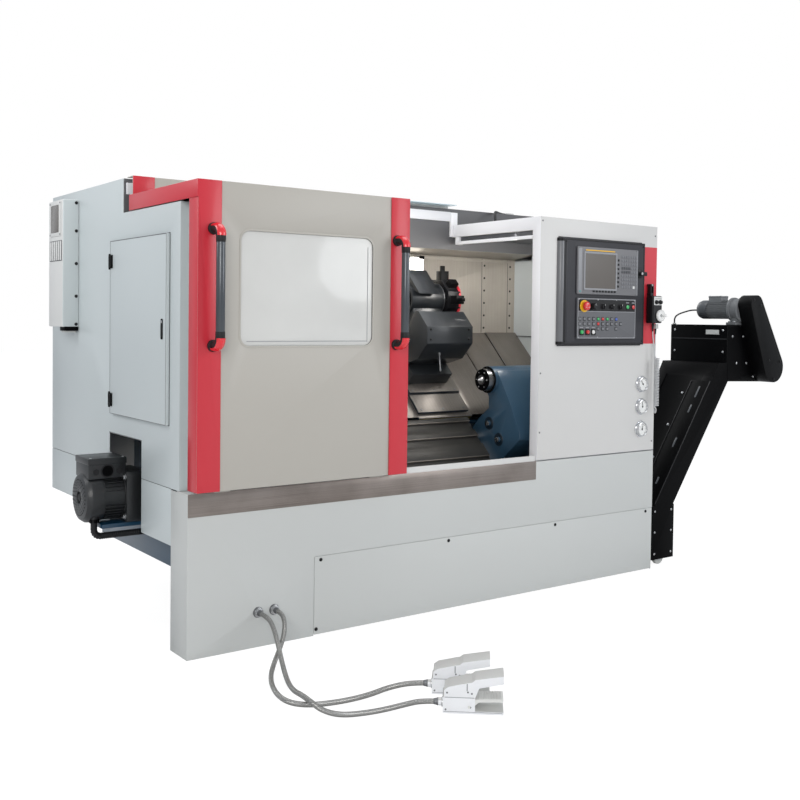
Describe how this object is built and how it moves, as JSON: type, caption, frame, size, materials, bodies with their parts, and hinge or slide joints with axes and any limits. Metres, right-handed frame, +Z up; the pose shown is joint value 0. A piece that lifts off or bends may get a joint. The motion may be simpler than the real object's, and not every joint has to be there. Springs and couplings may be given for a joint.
{
  "type": "cnc turning lathe",
  "caption": "Slant-bed turning lathe with a sliding door, control console, tool turret, tailstock, chip conveyor and foot pedals.",
  "frame": {"origin": "on the floor under the middle of the machine, measured without the cords and the pedals", "axes": "+X to the operator's right, +Y away from the operator, +Z up"},
  "size_m": [3.531, 2.4753, 1.738],
  "materials": {
    "castings": "dark blue machine enamel",
    "tool_carriage": "dark enamel and bare steel",
    "feet": "dark iron",
    "enclosure": "light grey texture paint",
    "door_paint": "warm grey paint",
    "red_paint": "red paint",
    "strip": "brushed stainless steel",
    "lining": "splashed sheet metal",
    "way_covers": "dull steel sheet",
    "screws": "blackened steel",
    "lamp": "lit lamp glass",
    "motor_black": "black paint",
    "gearmotor": "grey paint",
    "rubber": "black rubber",
    "console": "dark grey plastic",
    "dials": "polished rims",
    "pendant_case": "light grey plastic",
    "cord": "grey sheath",
    "pedals": "light grey plastic",
    "conduit": "metal conduit",
    "pane": "clear safety glass",
    "handles": "dark anodised tube",
    "steel": "ground steel",
    "black_steel": "blackened steel",
    "red_button": "red plastic",
    "green_button": "green plastic",
    "knob": "black plastic",
    "tyres": "grey rubber"
  },
  "bodies": {
    "machine": {"bed_casting": "castings", "levelling_feet": "feet", "base_skirt": "enclosure", "lower_front_panel": "enclosure", "cover_screws": "screws", "drip_rail": "strip", "left_upper_panel": "enclosure", "left_lower_panel": "enclosure", "headstock_cover": "enclosure", "control_cabinet": "enclosure", "right_end_panel": "enclosure", "rear_housing": "enclosure", "chamber_lining": "lining", "way_cover_left": "way_covers", "way_cover_right": "way_covers", "cabinet_cooler": "enclosure", "work_lamp": "lamp", "headstock": "castings", "main_motor": "motor_black", "motor_conduit": "rubber", "console_housing": "console", "display_unit": "console", "operator_panel": "console", "gauges": "dials", "conveyor_frame": "motor_black", "conveyor_gearmotor": "gearmotor", "chain_guard": "motor_black", "pendant": "pendant_case", "pendant_cord": "cord", "pedal_front": "pedals", "pedal_rear": "pedals", "pedal_hose_front": "conduit", "pedal_hose_rear": "conduit", "drive_belt": "rubber"},
    "door": {"sliding_door": "door_paint", "door_trim": "red_paint", "door_window": "pane", "door_handles": "handles"},
    "hatch": {"access_door": "enclosure"},
    "work_spindle": {"spindle": "steel", "chuck": "steel"},
    "jaw_a": {"chuck_jaw_a": "steel"},
    "jaw_b": {"chuck_jaw_b": "steel"},
    "jaw_c": {"chuck_jaw_c": "steel"},
    "pulley": {"motor_pulley": "steel"},
    "saddle": {"carriage": "tool_carriage"},
    "slide": {"cross_slide": "tool_carriage"},
    "turret": {"turret_disc": "black_steel"},
    "tail": {"tailstock": "castings"},
    "tail_quill": {"quill": "black_steel"},
    "centre": {"live_centre": "steel"},
    "estop": {"estop_button": "red_button"},
    "start": {"start_button": "green_button"},
    "stop": {"stop_button": "red_button"},
    "feed": {"feed_knob": "knob"},
    "dial": {"pendant_dial": "pendant_case"},
    "tread_front": {"treadle_front": "pedals"},
    "tread_rear": {"treadle_rear": "pedals"},
    "conveyor_head": {"head_shaft": "steel"},
    "casters": {"caster_wheels": "tyres"}
  },
  "joints": [
    {"name": "door_slide", "type": "slide", "parent": "machine", "child": "door", "axis": [1, 0, 0], "range_m": [0, 0.75]},
    {"name": "hatch_hinge", "type": "hinge", "parent": "machine", "child": "hatch", "pos_m": [-1.5985, 0.043, 1.142], "axis": [0, 0, -1], "range_deg": [0, 110]},
    {"name": "spindle_turn", "type": "hinge", "parent": "machine", "child": "work_spindle", "pos_m": [-0.8845, -0.374, 0.917], "axis": [1, 0, 0], "continuous": true},
    {"name": "jaw_a_slide", "type": "slide", "parent": "work_spindle", "child": "jaw_a", "axis": [0, 0, 1], "range_m": [-0.008, 0.005]},
    {"name": "jaw_b_slide", "type": "slide", "parent": "work_spindle", "child": "jaw_b", "axis": [0, -0.866, -0.5], "range_m": [-0.008, 0.005]},
    {"name": "jaw_c_slide", "type": "slide", "parent": "work_spindle", "child": "jaw_c", "axis": [0, 0.866, -0.5], "range_m": [-0.008, 0.005]},
    {"name": "motor_turn", "type": "hinge", "parent": "machine", "child": "pulley", "pos_m": [-1.4645, -0.089, 0.497], "axis": [1, 0, 0], "continuous": true},
    {"name": "carriage_slide", "type": "slide", "parent": "machine", "child": "saddle", "axis": [1, 0, 0], "range_m": [-0.42, 0], "deforming": ["way_cover_left", "way_cover_right"]},
    {"name": "cross_slide_slide", "type": "slide", "parent": "saddle", "child": "slide", "axis": [0, 0.7071, 0.7071], "range_m": [-0.25, 0]},
    {"name": "turret_turn", "type": "hinge", "parent": "slide", "child": "turret", "pos_m": [-0.0245, -0.074, 1.283], "axis": [1, 0, 0], "continuous": true},
    {"name": "tailstock_slide", "type": "slide", "parent": "machine", "child": "tail", "axis": [1, 0, 0], "range_m": [0, 0.18]},
    {"name": "quill_slide", "type": "slide", "parent": "tail", "child": "tail_quill", "axis": [1, 0, 0], "range_m": [-0.005, 0.01]},
    {"name": "centre_turn", "type": "hinge", "parent": "tail_quill", "child": "centre", "pos_m": [-0.0135, -0.374, 0.917], "axis": [1, 0, 0], "continuous": true},
    {"name": "estop_press", "type": "slide", "parent": "machine", "child": "estop", "axis": [0, 1, 0], "range_m": [0, 0.004], "stiffness_N_per_m": 1500},
    {"name": "start_press", "type": "slide", "parent": "machine", "child": "start", "axis": [0, 1, 0], "range_m": [0, 0.004], "stiffness_N_per_m": 800},
    {"name": "stop_press", "type": "slide", "parent": "machine", "child": "stop", "axis": [0, 1, 0], "range_m": [0, 0.004], "stiffness_N_per_m": 800},
    {"name": "feed_turn", "type": "hinge", "parent": "machine", "child": "feed", "pos_m": [0.3535, -0.714, 1.258], "axis": [0, 1, 0], "range_deg": [-135, 135]},
    {"name": "dial_turn", "type": "hinge", "parent": "machine", "child": "dial", "pos_m": [0.7835, -0.734, 1.221], "axis": [0, 1, 0], "continuous": true},
    {"name": "treadle_front_press", "type": "hinge", "parent": "machine", "child": "tread_front", "pos_m": [-1.05186, -1.55402, 0.021], "axis": [0.6428, 0.766, 0], "range_deg": [0, 6], "stiffness_Nm_per_rad": 4},
    {"name": "treadle_rear_press", "type": "hinge", "parent": "machine", "child": "tread_rear", "pos_m": [-0.98286, -1.41102, 0.021], "axis": [0.6428, 0.766, 0], "range_deg": [0, 6], "stiffness_Nm_per_rad": 4},
    {"name": "head_shaft_turn", "type": "hinge", "parent": "machine", "child": "conveyor_head", "pos_m": [1.6855, -0.484, 0.962], "axis": [0, 1, 0], "continuous": true},
    {"name": "caster_turn", "type": "hinge", "parent": "machine", "child": "casters", "pos_m": [0.9285, -0.484, 0.0325], "axis": [0, 1, 0], "continuous": true}
  ],
  "couplings": [
    {"joint": "jaw_b_slide", "follows": "jaw_a_slide", "ratio": 1},
    {"joint": "jaw_c_slide", "follows": "jaw_a_slide", "ratio": 1},
    {"joint": "motor_turn", "follows": "spindle_turn", "ratio": 1.5833}
  ]
}
